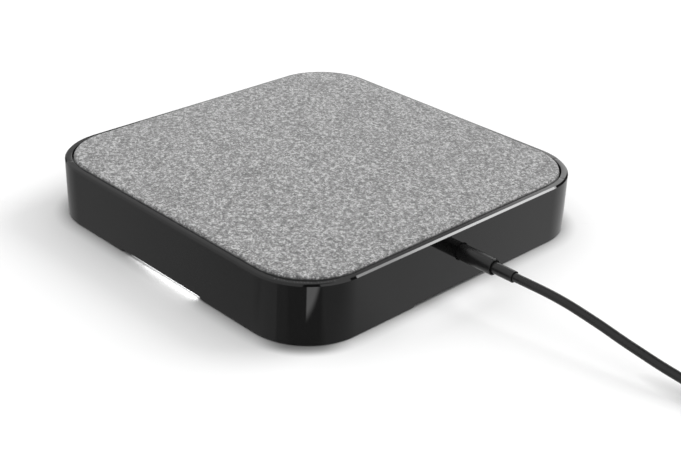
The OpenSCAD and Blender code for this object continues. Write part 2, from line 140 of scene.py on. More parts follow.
def makeCord():
    count = cordShape["pointsPerTurn"]
    coil = [coilPoint(step / count) for step in range(int(cordShape["turns"] * count) + 1)]
    route = cordRun + coil + cordTail
    line = bpy.data.curves.new("cord", "CURVE")
    line.dimensions = "3D"
    line.bevel_depth = cordShape["diameter"] / 2 * mm
    line.bevel_resolution = 6
    line.resolution_u = 4
    line.use_fill_caps = True
    spline = line.splines.new("BEZIER")
    spline.bezier_points.add(len(route) - 1)
    for point, place in zip(spline.bezier_points, route):
        point.co = place
        point.handle_left_type = point.handle_right_type = "AUTO"
    cord = bpy.data.objects.new("cord", line)
    bpy.context.scene.collection.objects.link(cord)
    steps = [(Vector(b) - Vector(a)).length for a, b in zip(route, route[1:])]
    return cord, sum(steps)


makeCamera()
cord, cordLength = makeCord()
print("camera and cord made, cord", round(cordLength, 3), "m")


# shaping tools

def clearSelection():
    bpy.ops.object.select_all(action="DESELECT")


def activate(piece):
    clearSelection()
    piece.select_set(True)
    bpy.context.view_layer.objects.active = piece


def settle(name):
    piece = bpy.context.object
    piece.name = piece.data.name = name
    bpy.ops.object.transform_apply(location=True, rotation=True, scale=True)
    return piece


def newBox(name, low, high):
    clearSelection()
    bpy.ops.mesh.primitive_cube_add(
        size=1,
        location=[(a + b) / 2 for a, b in zip(low, high)],
        scale=[b - a for a, b in zip(low, high)],
    )
    return settle(name)


def middleOf(part):
    return sum((v.co for v in part.verts), Vector()) / len(part.verts)


def lengthwise(edge, axis):
    span = edge.verts[1].co - edge.verts[0].co
    return abs(span[axis]) > 0.99 * span.length


def pick(piece, kind, test):
    # in edit mode: selects only the faces or edges that the test accepts
    bpy.ops.mesh.select_mode(type=kind)
    bpy.ops.mesh.select_all(action="DESELECT")
    shape = bmesh.from_edit_mesh(piece.data)
    for part in list(shape.faces if kind == "FACE" else shape.edges):
        if test(part):
            part.select_set(True)
    bmesh.update_edit_mesh(piece.data)


def openEdit(piece):
    activate(piece)
    bpy.ops.object.mode_set(mode="EDIT")


def closeEdit():
    bpy.ops.object.mode_set(mode="OBJECT")


def roundEdges(offset, segments):
    bpy.ops.mesh.bevel(offset=offset, offset_type="OFFSET", segments=segments, profile=0.5,
                       affect="EDGES", clamp_overlap=False)


def pushFace(distance, axis=2):
    move = [0, 0, 0]
    move[axis] = distance
    bpy.ops.mesh.extrude_region_move(TRANSFORM_OT_translate={"value": move})


def applyModifier(piece, kind, **settings):
    activate(piece)
    modifier = piece.modifiers.new(kind.lower(), kind)
    for name, value in settings.items():
        setattr(modifier, name, value)
    bpy.ops.object.modifier_apply(modifier=modifier.name)


def cut(piece, tool, operation="DIFFERENCE"):
    applyModifier(piece, "BOOLEAN", operation=operation, object=tool, solver="EXACT")
    bpy.data.objects.remove(tool)


def soften(piece, width, segments=2, angle=40):
    applyModifier(piece, "BEVEL", width=width, segments=segments, limit_method="ANGLE",
                  angle_limit=math.radians(angle), use_clamp_overlap=True, harden_normals=False)


def smooth(piece, angle=32):
    activate(piece)
    bpy.ops.object.shade_smooth_by_angle(angle=math.radians(angle))
    applyModifier(piece, "WEIGHTED_NORMAL", keep_sharp=True, weight=80)


def turned(name, stations, place, axis="Z", sides=48):
    # a round piece as on a lathe: stations are (distance along the axis, radius) from one end to the other
    clearSelection()
    start, radius = stations[0]
    bpy.ops.mesh.primitive_circle_add(vertices=sides, radius=radius, fill_type="NGON", location=(0, 0, start))
    piece = settle(name)
    openEdit(piece)
    bpy.ops.mesh.select_all(action="SELECT")
    at, width = start, radius
    for along, radius in stations[1:]:
        pushFace(along - at)
        factor = radius / width
        bpy.ops.transform.resize(value=(factor, factor, 1), center_override=(0, 0, along))
        at, width = along, radius
    bpy.ops.mesh.select_all(action="SELECT")
    bpy.ops.mesh.normals_make_consistent(inside=False)
    closeEdit()
    turns = {"X": (0, math.pi / 2, 0), "Y": (-math.pi / 2, 0, 0), "Z": (0, 0, 0)}
    piece.rotation_euler = turns[axis]
    piece.location = place
    return settle(name)


def copyPiece(piece, name, move):
    twin = piece.copy()
    twin.data = piece.data.copy()
    twin.name = twin.data.name = name
    bpy.context.scene.collection.objects.link(twin)
    twin.data.transform(Matrix.Translation(move))
    return twin


def close(a, b, within=2e-5):
    return abs(a - b) < within


# shader tools

class Wire:
    # one socket of a node tree; sums and products of wires add Math nodes
    def __init__(self, tree, socket=None):
        self.tree = tree
        self.socket = socket

    def add(self, kind, settings=None, inputs=None, output=0):
        node = self.tree.nodes.new(kind)
        for name, value in (settings or {}).items():
            if name == "stops":
                ramp = node.color_ramp.elements
                while len(ramp) < len(value):
                    ramp.new(0.5)
                for stop, (position, colour) in zip(ramp, value):
                    stop.position = position
                    stop.color = (*colour, 1)
            else:
                setattr(node, name, value)
        for name, value in (inputs or {}).items():
            if isinstance(value, Wire):
                self.tree.links.new(value.socket, node.inputs[name])
            else:
                node.inputs[name].default_value = value
        return Wire(self.tree, node.outputs[output]) if len(node.outputs) else None

    def math(self, operation, first, second=0.0):
        return self.add("ShaderNodeMath", {"operation": operation}, {0: first, 1: second})

    def __add__(self, other):
        return self.math("ADD", self, other)

    def __radd__(self, other):
        return self.math("ADD", other, self)

    def __sub__(self, other):
        return self.math("SUBTRACT", self, other)

    def __rsub__(self, other):
        return self.math("SUBTRACT", other, self)

    def __mul__(self, other):
        return self.math("MULTIPLY", self, other)

    def __rmul__(self, other):
        return self.math("MULTIPLY", other, self)

    def most(self, other):
        return self.math("MAXIMUM", self, other)

    def least(self, other):
        return self.math("MINIMUM", self, other)

    def power(self, other):
        return self.math("POWER", self, other)

    def step(self, start, end):
        return self.add("ShaderNodeMapRange", {"interpolation_type": "SMOOTHSTEP"},
                        {"Value": self, "From Min": start, "From Max": end})

    def between(self, limits):
        # a smooth step between two limits in mm
        return self.step(*(limit * mm for limit in limits))

    def mix(self, first, second):
        # self is the share of the second colour
        return self.add("ShaderNodeMix", {"data_type": "RGBA"}, {0: self, 6: first, 7: second}, 2)


def display(*levels):
    # display levels from 0 to 255, as a linear colour
    if len(levels) == 1:
        levels = levels * 3
    return tuple((v / 255 / 12.92) if v < 10.3 else ((v / 255 + 0.055) / 1.055) ** 2.4 for v in levels)


def colour(*levels):
    return (*display(*levels), 1)


def newMaterial(name):
    material = bpy.data.materials.new(name)
    material.use_nodes = True
    material.node_tree.nodes.clear()
    return material, Wire(material.node_tree)


def placeOn(net):
    return net.add("ShaderNodeTexCoord", output="Object")


def stretched(net, place, turn, stretch):
    return net.add("ShaderNodeMapping", {"vector_type": "TEXTURE"},
                   {"Vector": place, "Rotation": (0, 0, math.radians(turn)), "Scale": stretch})


def noise(net, place, size, detail=2.0, output="Fac"):
    return net.add("ShaderNodeTexNoise", None, {"Vector": place, "Scale": 1 / size, "Detail": detail}, output)


def finishSurface(net, inputs, height=None, bump=0.2, depth=0.0001):
    if height is not None:
        inputs["Normal"] = net.add("ShaderNodeBump", None,
                                   {"Strength": bump, "Distance": depth, "Height": height})
    surface = net.add("ShaderNodeBsdfPrincipled", None, inputs)
    net.add("ShaderNodeOutputMaterial", None, {"Surface": surface})


def dress(piece, material):
    piece.data.materials.clear()
    piece.data.materials.append(material)


# finishes

glossLook = {
    "black": 8,
    "dusty": 16,
    "roughness": 0.035,
    "smudge": (22, 0.45, 0.8),    # mm across, and the noise levels between which it comes in
    "dust": (0.5, 0.70, 0.82),
    "waviness": 9,                # mm across
}


def makeGloss():
    material, net = newMaterial("gloss_black")
    place = placeOn(net)
    size, start, end = glossLook["smudge"]
    smudge = noise(net, place, size * mm, 3).step(start, end)
    size, start, end = glossLook["dust"]
    dust = noise(net, place, size * mm, 1).step(start, end)
    finishSurface(net, {
        "Base Color": (dust * 0.5 + smudge * 0.3).mix(colour(glossLook["black"]), colour(glossLook["dusty"])),
        "Roughness": glossLook["roughness"] + smudge * 0.02 + dust * 0.12,
        "IOR": 1.5,
    }, noise(net, place, glossLook["waviness"] * mm, 1), 0.02, 0.02 * mm)
    return material


feltLook = {
    "dark": 71,
    "middle": 112,
    "light": 173,
    "fibre": 0.34,                 # width of a strand, mm
    "turns": (8, 55, 101, 148),    # degrees that the strands lie at
    "strandLength": 3.4,           # times its width
    "spread": 0.12,                # how much wider each next set of strands is
    "curl": (1.3, 1.1),            # size of the curls and how far they bend the strands, mm
    "clump": 1.4,                  # mm across
    "patch": 9,
    # painted shade: the felt's sides are coloured this dark low down, next to the rim
    "paintedSideShade": 36,
    "paintedSideShadeHeight": (18.3, 18.95),    # height over which the painted shade on the felt's lower sides gives way to its full tone, mm
}


def makeFelt():
    material, net = newMaterial("felt_grey")
    place = placeOn(net)
    curlSize, bend = (value * mm for value in feltLook["curl"])
    curl = noise(net, place, curlSize, 1.0, "Color")
    bent = net.add("ShaderNodeVectorMath", {"operation": "MULTIPLY_ADD"}, {0: curl, 1: (bend,) * 3, 2: place})
    size = feltLook["fibre"] * mm
    shape = (feltLook["strandLength"], 1, 1)
    pale = shade = None
    for index, turn in enumerate(feltLook["turns"]):
        strand = noise(net, stretched(net, bent, turn, shape), size * (1 + feltLook["spread"] * index), 1.5)
        pale = strand if pale is None else pale.most(strand)
        shade = strand if shade is None else shade.least(strand)
    clump = noise(net, place, feltLook["clump"] * mm, 2)
    patch = noise(net, place, feltLook["patch"] * mm, 2)
    bright = (pale - 0.60) * 3.0 + (shade - 0.40) * 2.2 + (clump - 0.5) * 1.3 + (patch - 0.5) * 0.25 + 0.5
    tint = net.add("ShaderNodeValToRGB", {"stops": [
        (0.0, display(feltLook["dark"])),
        (0.5, display(feltLook["middle"])),
        (1.0, display(feltLook["light"])),
    ]}, {"Fac": bright})
    # painted shade: below this height the felt's colour darkens to the painted side shade
    unshadedShare = net.add("ShaderNodeSeparateXYZ", None, {"Vector": place}, "Z").between(feltLook["paintedSideShadeHeight"])
    finishSurface(net, {
        "Base Color": unshadedShare.mix(colour(feltLook["paintedSideShade"]), tint),
        "Roughness": 0.95 - pale * 0.1,
        "Specular IOR Level": 0.2,
        "Sheen Weight": 0.25,
        "Sheen Roughness": 0.6,
    }, pale * 0.7 + clump * 0.5, 0.8, 0.0003)
    return material


# dark and light display colours, roughness, grain size in mm, bump
mouldings = {
    "plate_white": ((205, 204, 198), (222, 221, 216), 0.5, 0.6, 0.2),
    "tape_cream": ((214, 208, 184), (232, 226, 204), 0.8, 0.4, 0.5),
    "satin_black": ((30, 30, 32), (42, 42, 44), 0.5, 0.35, 0.5),
    "rubber_black": ((34, 34, 36), (50, 50, 52), 0.8, 0.3, 0.5),
    "film_amber": ((176, 108, 30), (208, 138, 48), 0.25, 3, 0.1),
    "ferrite_grey": ((52, 53, 58), (74, 75, 80), 0.6, 0.2, 0.5),
    "chip_black": ((30, 30, 33), (44, 44, 47), 0.55, 0.15, 0.4),
    "capacitor_tan": ((160, 130, 90), (186, 156, 112), 0.45, 0.4, 0.2),
    "led_cream": ((238, 226, 176), (252, 244, 206), 0.35, 0.3, 0.1),
    "wire_red": ((158, 36, 30), (186, 50, 42), 0.45, 0.6, 0.1),
    "socket_cream": ((216, 212, 196), (234, 230, 216), 0.5, 0.5, 0.2),
    "tongue_white": ((226, 226, 224), (242, 242, 240), 0.4, 0.6, 0.1),
    "cord_black": ((16, 16, 16), (26, 26, 26), 0.3, 0.6, 0.12),
    "plug_black": ((16, 16, 16), (25, 25, 25), 0.3, 0.4, 0.1),
    "tie_black": ((30, 30, 32), (62, 62, 64), 0.9, 0.25, 1.0),
}
mouldingPatch = {"size": 11, "depth": 0.06}    # paler and darker areas, and the depth of the grain, mm


def makeMoulding(name):
    dark, light, roughness, grainSize, bump = mouldings[name]
    material, net = newMaterial(name)
    place = placeOn(net)
    grain = noise(net, place, grainSize * mm, 3)
    patch = noise(net, place, mouldingPatch["size"] * mm, 2)
    finishSurface(net, {
        "Base Color": (grain * 0.5 + patch * 0.5).step(0.25, 0.75).mix(colour(*dark), colour(*light)),
        "Roughness": roughness + (patch - 0.5) * 0.2 + (grain - 0.5) * 0.15,
    }, grain, bump, mouldingPatch["depth"] * mm)
    return material


# display colour, roughness, how far the brushing or drawing lines are stretched, and their width in mm
metals = {
    "screw_steel": ((196, 198, 202), 0.3, (1, 1, 4), 0.3),
    "plate_steel": ((168, 171, 176), 0.38, (30, 1, 1), 0.25),
    "can_aluminium": ((214, 216, 218), 0.28, (1, 1, 12), 0.2),
    "contact_gold": ((222, 184, 108), 0.2, (8, 1, 1), 0.2),
    "shell_nickel": ((206, 208, 212), 0.2, (1, 14, 1), 0.3),
    "wire_copper": ((190, 112, 62), 0.3, (1, 1, 1), 0.16),
}
# worn areas in mm across, how dark they are, and the depth of the lines in mm
metalWear = {"size": 7, "share": 0.72, "depth": 0.03}


def makeMetal(name):
    tone, roughness, stretch, lineWidth = metals[name]
    material, net = newMaterial(name)
    place = placeOn(net)
    lines = noise(net, stretched(net, place, 0, stretch), lineWidth * mm, 3)
    patch = noise(net, place, metalWear["size"] * mm, 3)
    worn = tuple(metalWear["share"] * level for level in tone)
    finishSurface(net, {
        "Base Color": (lines * 0.4 + patch * 0.4).step(0.2, 0.65).mix(colour(*worn), colour(*tone)),
        "Metallic": 1.0,
        "Roughness": roughness + (lines - 0.5) * 0.2 + patch.step(0.5, 0.8) * 0.1,
    }, lines, 0.15, metalWear["depth"] * mm)
    return material


boardLook = {
    "mask": (24, 92, 52),
    "trace": (44, 128, 74),
    "pad": (206, 190, 132),
    "traceEvery": 9,           # mm
    "padEvery": 3.4,
    "padEdge": (0.10, 0.12),
}


def makeBoard():
    material, net = newMaterial("board_green")
    place = placeOn(net)
    traces = net.add("ShaderNodeTexBrick", None, {
        "Vector": stretched(net, place, 45, (1, 1, 1)), "Scale": 1 / (boardLook["traceEvery"] * mm),
        "Color1": (0, 0, 0, 1), "Color2": (0, 0, 0, 1), "Mortar": (1, 1, 1, 1), "Mortar Size": 0.035,
    }, "Fac")
    spacing = boardLook["padEvery"] * mm
    spots = net.add("ShaderNodeTexVoronoi", None, {"Vector": place, "Scale": 1 / spacing}, "Distance")
    pads = 1 - spots.step(*boardLook["padEdge"])
    mask = traces.mix(colour(*boardLook["mask"]), colour(*boardLook["trace"]))
    finishSurface(net, {
        "Base Color": pads.mix(mask, colour(*boardLook["pad"])),
        "Metallic": pads * 0.8,
        "Roughness": 0.35 + noise(net, place, 2 * mm, 2) * 0.2,
    }, traces * 0.6 + pads, 0.3, 0.00004)
    return material


guideLook = {
    "strength": 1.2,
    "lit": (255, 255, 255),
    "pale": (236, 240, 244),
    "masked": 14,
    "frost": 0.3,            # mm across
    # where the printed mask on the lip begins and ends, in mm: height, left end, front
    "mask": {"height": (0.62, 0.86), "end": (-13, -15), "front": (-59.2, -59.4)},
    "glow": {"left": (-16, -4), "right": (17.6, 16.4)},
}


def makeGuide():
    material, net = newMaterial("guide_frost")
    place = placeOn(net)
    frost = noise(net, place, guideLook["frost"] * mm, 3)
    along, out, height = (net.add("ShaderNodeSeparateXYZ", None, {"Vector": place}, axis) for axis in "XYZ")
    mask, lit = guideLook["mask"], guideLook["glow"]
    mask = height.between(mask["height"]).most(along.between(mask["end"])) * out.between(mask["front"])
    ends = along.between(lit["left"]) * along.between(lit["right"])
    glow = (frost * 0.2 + ends * 0.85).least(1.0) * (1 - mask)
    pale = frost.mix(colour(*guideLook["pale"]), colour(*guideLook["lit"]))
    finishSurface(net, {
        "Base Color": mask.mix(pale, colour(guideLook["masked"])),
        "Roughness": 0.45 + frost * 0.25,
        "Emission Color": glow.mix(colour(0), colour(*guideLook["lit"])),
        "Emission Strength": guideLook["strength"],
    }, frost, 0.3, 0.00005)
    return material


finishes = {
    "gloss_black": makeGloss(),
    "felt_grey": makeFelt(),
    "board_green": makeBoard(),
    "guide_frost": makeGuide(),
}
for name in mouldings:
    finishes[name] = makeMoulding(name)
for name in metals:
    finishes[name] = makeMetal(name)
slotOf = {part["node"]: part["material_slot"] for part in frame["record"]["subparts"]}
for name, node in frame["nodes"].items():
    dress(node, finishes[slotOf[name]])
print("finishes made:", len(finishes))


def standFor(piece, body, *nodes):
    # the piece takes the finish and the place of the CAD nodes that it stands for
    slot = slotOf[nodes[0]]
    dress(piece, finishes[slot])
    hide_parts(*nodes)
    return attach(piece, body)


# case

caseShape = {
    "cornerRadius": 19.2,
    "cornerSegments": 32,
    "bevel": 0.5,
    "rim": 2.1,
    "wall": 2.2,
    "deckTop": 15.4,
    "deckBottom": 14.0,
    "softEdge": 0.12,
    "reliefWidth": 36.8,
    "reliefTop": 1.1,
    "inletRadius": 2.7,
    "inletHeight": 11.3,
    "inletDepth": 4,
    "overlap": 0.7,            # how far the posts reach into the deck
}
# screw posts under the deck, in mm: distance from the middle each way, bottom, radius, hole radius, hole top
casePosts = [
    {"at": 44, "bottom": 4.2, "radius": 3.0, "hole": 1.25, "holeTop": 12.0},
    {"at": 24.5, "bottom": 11.55, "radius": 2.5, "hole": 0.95, "holeTop": 14.6},
]


def makeCase():
    low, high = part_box("housing")
    size = {name: value * mm for name, value in caseShape.items()}
    case = newBox("gloss_case", low, high)
    openEdit(case)
    pick(case, "EDGE", lambda e: lengthwise(e, 2))
    roundEdges(size["cornerRadius"], caseShape["cornerSegments"])
    pick(case, "EDGE", lambda e: all(close(v.co.z, high.z) for v in e.verts))
    roundEdges(size["bevel"], 1)
    pick(case, "FACE", lambda f: f.normal.z > 0.99)
    bpy.ops.mesh.inset(thickness=size["rim"] - size["bevel"], use_even_offset=True)
    pushFace(size["deckTop"] - high.z)
    pick(case, "EDGE", lambda e: all(close(v.co.z, high.z) for v in e.verts)
         and max(abs(c) for c in middleOf(e)[:2]) < high.x - size["rim"] + 2e-5)
    roundEdges(size["softEdge"], 2)
    pick(case, "EDGE", lambda e: all(close(v.co.z, low.z) for v in e.verts))
    roundEdges(size["softEdge"], 2)
    pick(case, "FACE", lambda f: f.normal.z < -0.99)
    bpy.ops.mesh.inset(thickness=size["wall"] - size["softEdge"], use_even_offset=True)
    pushFace(size["deckBottom"] - low.z)
    closeEdit()
    clear = 1 * mm
    half, reach = size["reliefWidth"] / 2, high.x + clear
    cut(case, newBox("cutter", (-half, -reach, -clear), (half, reach, size["reliefTop"])))
    cut(case, newBox("cutter", (-reach, -half, -clear), (reach, half, size["reliefTop"])))
    depth, inlet = size["inletDepth"], size["inletRadius"]
    cut(case, turned("cutter", [(0, inlet), (depth + clear, inlet)], (high.x - depth, 0, size["inletHeight"]),
                     "X", 64))
    for post in casePosts:
        hole, holeTop, bottom, radius = (post[name] * mm for name in ("hole", "holeTop", "bottom", "radius"))
        stations = [(holeTop, hole), (bottom, hole), (bottom, radius),
                    (size["deckBottom"] + size["overlap"], radius)]
        for x in (-post["at"], post["at"]):
            for y in (-post["at"], post["at"]):
                cut(case, turned("post", stations, (x * mm, y * mm, 0), "Z", 24), "UNION")
    smooth(case)
    return standFor(case, "pad", "housing")


makeCase()
print("case made")


# felt cover

feltShape = {
    "drawnIn": 0.15,           # how far its sides stay inside the plate's allowance, mm
    "raised": 0.5,
    "cornerRadius": 18.2,
    "side": 0.9,
    "top": 1.7,
    "edge": 0.5,
    "voxel": 0.64,
    "tufts": (0.9, 0.22),      # size of the surface's tufts and how far they stand out, mm
    "waves": (7.0, 0.12),
    "outer": (0.9, 0.4),       # depth from the top and from the sides in which the surface is uneven, mm
    "cut": (122, 122),         # flat cut before it is pulled over its plate
}


def displace(piece, name, size, depth, group):
    pattern = bpy.data.textures.new(name, "CLOUDS")
    pattern.noise_scale = size * mm
    pattern.noise_depth = 2
    applyModifier(piece, "DISPLACE", texture=pattern, texture_coords="LOCAL", strength=depth * mm,
                  mid_level=0.5, vertex_group=group)


def makeFeltCover():
    low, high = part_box("fabric_top")
    drawnIn = feltShape["drawnIn"] * mm
    low += Vector((drawnIn, drawnIn, 0))
    high += Vector((-drawnIn, -drawnIn, feltShape["raised"] * mm))
    felt = newBox("felt_cover", low, high)
    openEdit(felt)
    pick(felt, "EDGE", lambda e: lengthwise(e, 2))
    roundEdges(feltShape["cornerRadius"] * mm, 16)
    pick(felt, "FACE", lambda f: f.normal.z < -0.99)
    bpy.ops.mesh.inset(thickness=feltShape["side"] * mm, use_even_offset=True)
    pushFace(high.z - low.z - feltShape["top"] * mm)
    pick(felt, "EDGE", lambda e: all(close(v.co.z, high.z) for v in e.verts))
    roundEdges(feltShape["edge"] * mm, 4)
    closeEdit()
    applyModifier(felt, "REMESH", mode="VOXEL", voxel_size=feltShape["voxel"] * mm)
    outside = felt.vertex_groups.new(name="outside")
    fromTop, fromSide = (value * mm for value in feltShape["outer"])
    outer = [v.index for v in felt.data.vertices
             if v.co.z > high.z - fromTop or max(abs(v.co.x), abs(v.co.y)) > high.x - fromSide]
    outside.add(outer, 1, "REPLACE")
    for name in ("waves", "tufts"):
        displace(felt, name, *feltShape[name], "outside")
    activate(felt)
    bpy.ops.object.shade_smooth()
    standFor(felt, "pad", "fabric_top")
    return felt


makeFeltCover()
print("felt cover made")


# round plug on the lead

plugShape = {
    "bore": 1.28,
    "boreDepth": 3.9,
    "nose": 2.2,
    "noseLength": 0.2,
    "radius": 2.4,
    "reliefRadius": 1.7,
    "ringDepth": 0.8,
    "cordRing": 1.5,
    "cordRingDepth": 0.5,
    "softEdge": 0.12,
}


def makePlug():
    shape = plugShape
    low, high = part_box("plug_body")
    length = (high.x - low.x) / mm
    opening = shape["radius"] - 0.3
    stations = [
        (shape["boreDepth"], shape["bore"]), (0, shape["bore"]), (0, shape["nose"]),
        (shape["noseLength"], shape["nose"]), (shape["noseLength"], shape["radius"]),
        (length, shape["radius"]), (length, opening), (length - shape["ringDepth"], opening),
    ]
    axisHeight = (low.z + high.z) / 2
    body = turned("round_plug", [(a * mm, r * mm) for a, r in stations], (low.x, 0, axisHeight), "X", 64)
    soften(body, shape["softEdge"] * mm, 3)
    smooth(body)
    standFor(body, "lead", "plug_body")

    low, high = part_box("strain_relief")
    length = (high.x - low.x) / mm
    stations = [(0, shape["reliefRadius"]), (length, shape["reliefRadius"]), (length, shape["cordRing"]),
                (length - shape["cordRingDepth"], shape["cordRing"])]
    sleeve = turned("plug_sleeve", [(a * mm, r * mm) for a, r in stations], (low.x, 0, axisHeight), "X", 48)
    soften(sleeve, shape["softEdge"] * 0.8 * mm, 2)
    smooth(sleeve)
    standFor(sleeve, "lead", "strain_relief")
    return body, sleeve


plugPieces = makePlug()
print("round plug made")


# feet

footShape = {"recess": 4.6, "recessDepth": 0.35, "ring": (5.0, 6.5), "radius": 7.0, "chamfer": 0.4}


def makeFeet():
    low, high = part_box("rubber_feet")
    at = high.x - footShape["radius"] * mm
    inner, outer = footShape["ring"]
    stations = [(footShape["recessDepth"], footShape["recess"]), (0, inner), (0, outer),
                (footShape["chamfer"], footShape["radius"]), (high.z / mm, footShape["radius"])]
    first = turned("foot_1", [(a * mm, r * mm) for a, r in stations], (-at, -at, 0), "Z", 40)
    soften(first, 0.1 * mm, 2, 25)
    smooth(first)
    feet = [first] + [copyPiece(first, f"foot_{number}", move) for number, move in
                      ((2, (2 * at, 0, 0)), (3, (0, 2 * at, 0)), (4, (2 * at, 2 * at, 0)))]
    for foot in feet:
        standFor(foot, "pad", "rubber_feet")


makeFeet()
print("feet made")


# charging coil, one stranded wire wound in a flat spiral

windingShape = {"turns": 10, "innerRadius": 10.9, "pitch": 1.15, "wire": 1.1, "pointsPerTurn": 40}


def makeWinding():
    low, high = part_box("charging_coil")
    height = (low.z + high.z) / 2
    shape = windingShape
    line = bpy.data.curves.new("winding", "CURVE")
    line.dimensions = "3D"
    line.bevel_depth = shape["wire"] / 2 * mm
    line.bevel_resolution = 2
    line.use_fill_caps = True
    steps = int((shape["turns"] - 0.5) * shape["pointsPerTurn"])
    spline = line.splines.new("POLY")
    spline.points.add(steps)
    for step, point in enumerate(spline.points):
        turn = step / shape["pointsPerTurn"]
        reach = (shape["innerRadius"] + shape["pitch"] * turn) * mm
        angle = 2 * math.pi * turn
        point.co = (reach * math.cos(angle), reach * math.sin(angle), height, 1)
    winding = bpy.data.objects.new("stranded_coil", line)
    bpy.context.scene.collection.objects.link(winding)
    activate(winding)
    bpy.ops.object.convert(target="MESH")
    winding = bpy.context.object
    bpy.ops.object.shade_smooth()
    return standFor(winding, "pad", "charging_coil")


makeWinding()
print("coil wound")


# tie round the stored cord

tieShape = {"angle": 135, "inner": 9.0, "outer": 18.8, "width": 5, "bottom": 0.05, "top": 11.7,
            "thickness": 0.5, "cornerRadius": 1.3, "end": (3.2, 8.4), "lap": 0.35, "softEdge": 0.1}


def makeTie():
    shape = {name: value * mm for name, value in tieShape.items() if name not in ("angle", "end")}
    half = shape["width"] / 2
    strap = newBox("cord_strap", (shape["inner"], -half, shape["bottom"]),
                   (shape["outer"], half, shape["top"]))
    openEdit(strap)
    pick(strap, "EDGE", lambda e: lengthwise(e, 1))
    roundEdges(shape["cornerRadius"], 5)
    pick(strap, "FACE", lambda f: abs(f.normal.y) > 0.99)
    bpy.ops.mesh.inset(thickness=shape["thickness"], use_even_offset=True, use_individual=True)
    bpy.ops.mesh.delete(type="FACE")
    pick(strap, "EDGE", lambda e: e.is_boundary)
    bpy.ops.mesh.bridge_edge_loops()
    bpy.ops.mesh.select_all(action="SELECT")
    bpy.ops.mesh.normals_make_consistent(inside=False)
    closeEdit()
    bottom, top = (value * mm for value in tieShape["end"])
    soft = shape["softEdge"]
    cut(strap, newBox("strapEnd", (shape["outer"] - soft, -half + soft, bottom),
                      (shape["outer"] + shape["lap"], half - soft, top)), "UNION")
    soften(strap, soft, 2)
    strap.rotation_euler = (0, 0, math.radians(tieShape["angle"]))
    strap.location = (cordShape["coilMiddle"][0] * mm, cordShape["coilMiddle"][1] * mm, 0)
    activate(strap)
    settle("cord_strap")
    smooth(strap)
    return standFor(strap, "lead", "cord_tie")


strap = makeTie()
print("tie made")


# far plug, lying along +Y

usbShape = {
    "bodyRadius": 2.4,
    "shellSize": (12, 4.5),
    "shellSkin": 0.3,
    "shellPocket": 22.2,
    "pocketDepth": 4,
    "grips": (5, 7.5, 10),
    "gripSize": (0.6, 1.0, 4.0),
    "windows": {"along": 14.2, "off": 2.9, "size": (2.5, 2.2)},
    "reliefRadii": (1.8, 2.6),
    "reliefGrooves": (1.5, 3.5, 5.5),
    "grooveWidth": 0.8,
    "grooveRadius": 1.6,
    "softEdge": 0.5,
    "clearance": 0.03,
    "seam": {"from": 5, "half": 0.08, "depth": 0.4},
}


def makeFarPlug():
    shape = usbShape
    low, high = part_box("usb_body")
    middle = (low + high) / 2
    clear = shape["clearance"] * mm
    wide, tall = (value * mm / 2 + clear for value in shape["shellSize"])
    body = newBox("far_plug_grip", low, high)
    openEdit(body)
    pick(body, "EDGE", lambda e: lengthwise(e, 1))
    roundEdges(shape["bodyRadius"] * mm, 8)
    closeEdit()
    soften(body, shape["softEdge"] * mm, 3)
    cut(body, newBox("cutter", (middle.x - wide, high.y - shape["pocketDepth"] * mm, middle.z - tall),
                     (middle.x + wide, high.y + 2 * mm, middle.z + tall)))
    deep, long, rise = (value * mm for value in shape["gripSize"])
    for side in (low.x, high.x):
        for along in shape["grips"]:
            start = low.y + along * mm
            cut(body, newBox("cutter", (side - deep / 2, start, middle.z - rise / 2),
                             (side + deep / 2, start + long, middle.z + rise / 2)))
    smooth(body)
    standFor(body, "lead", "usb_body")

    low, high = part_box("usb_shell")
    shell = newBox("far_plug_shell", low, high)
    openEdit(shell)
    pick(shell, "EDGE", lambda e: lengthwise(e, 1))
    roundEdges(shape["softEdge"] * mm, 3)
    pick(shell, "FACE", lambda f: f.normal.y > 0.99)
    bpy.ops.mesh.inset(thickness=shape["shellSkin"] * mm, use_even_offset=True)
    pushFace(-shape["shellPocket"] * mm, 1)
    closeEdit()
    window, seam = shape["windows"], shape["seam"]
    below, above = low.z - 1 * mm, high.z + 1 * mm
    across, along = (value * mm for value in window["size"])
    for side in (-1, 1):
        x = middle.x + side * window["off"] * mm
        start = low.y + window["along"] * mm
        cut(shell, newBox("cutter", (x - across / 2, start, below), (x + across / 2, start + along, above)))
    cut(shell, newBox("cutter", (middle.x - seam["half"] * mm, low.y + seam["from"] * mm, below),
                      (middle.x + seam["half"] * mm, high.y + 1 * mm, low.z + seam["depth"] * mm)))
    smooth(shell)
    standFor(shell, "lead", "usb_shell")

    low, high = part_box("usb_relief")
    thin, thick = shape["reliefRadii"]
    length = (high.y - low.y) / mm

    def radiusAt(along):
        return thin + (thick - thin) * along / length

    stations = [(0, thin)]
    for start in shape["reliefGrooves"]:
        end = start + shape["grooveWidth"]
        stations += [(start, radiusAt(start)), (start, shape["grooveRadius"]),
                     (end, shape["grooveRadius"]), (end, radiusAt(end))]
    stations.append((length, thick))
    sleeve = turned("far_plug_sleeve", [(a * mm, r * mm) for a, r in stations],
                    (middle.x, low.y, middle.z), "Y", 40)
    soften(sleeve, 0.08 * mm, 2)
    smooth(sleeve)
    standFor(sleeve, "lead", "usb_relief")
    return body, shell, sleeve


farPieces = makeFarPlug()
print("far plug made")

standFor(cord, "lead", "cord_run", "cord_bundle", "cord_tail")
onCord = [*plugPieces, strap, *farPieces]
onCord += [frame["nodes"][name] for name in ("barrel_sleeve", "barrel_insulator", "barrel_contact",
                                             "usb_tongue", "usb_contacts")]


# floor, light and surroundings

studio = {
    "floorSize": 30,
    "floor": 0.8,
    "keyDirection": (0.296, 0.814, 0.5),
    "keyStrength": 2.0,
    "keyAngle": 40,
    "fill": 1.10,
    "contact": (5, 0.8),             # reach of the painted contact shadow, a darker floor where something touches it, mm, and its power
}
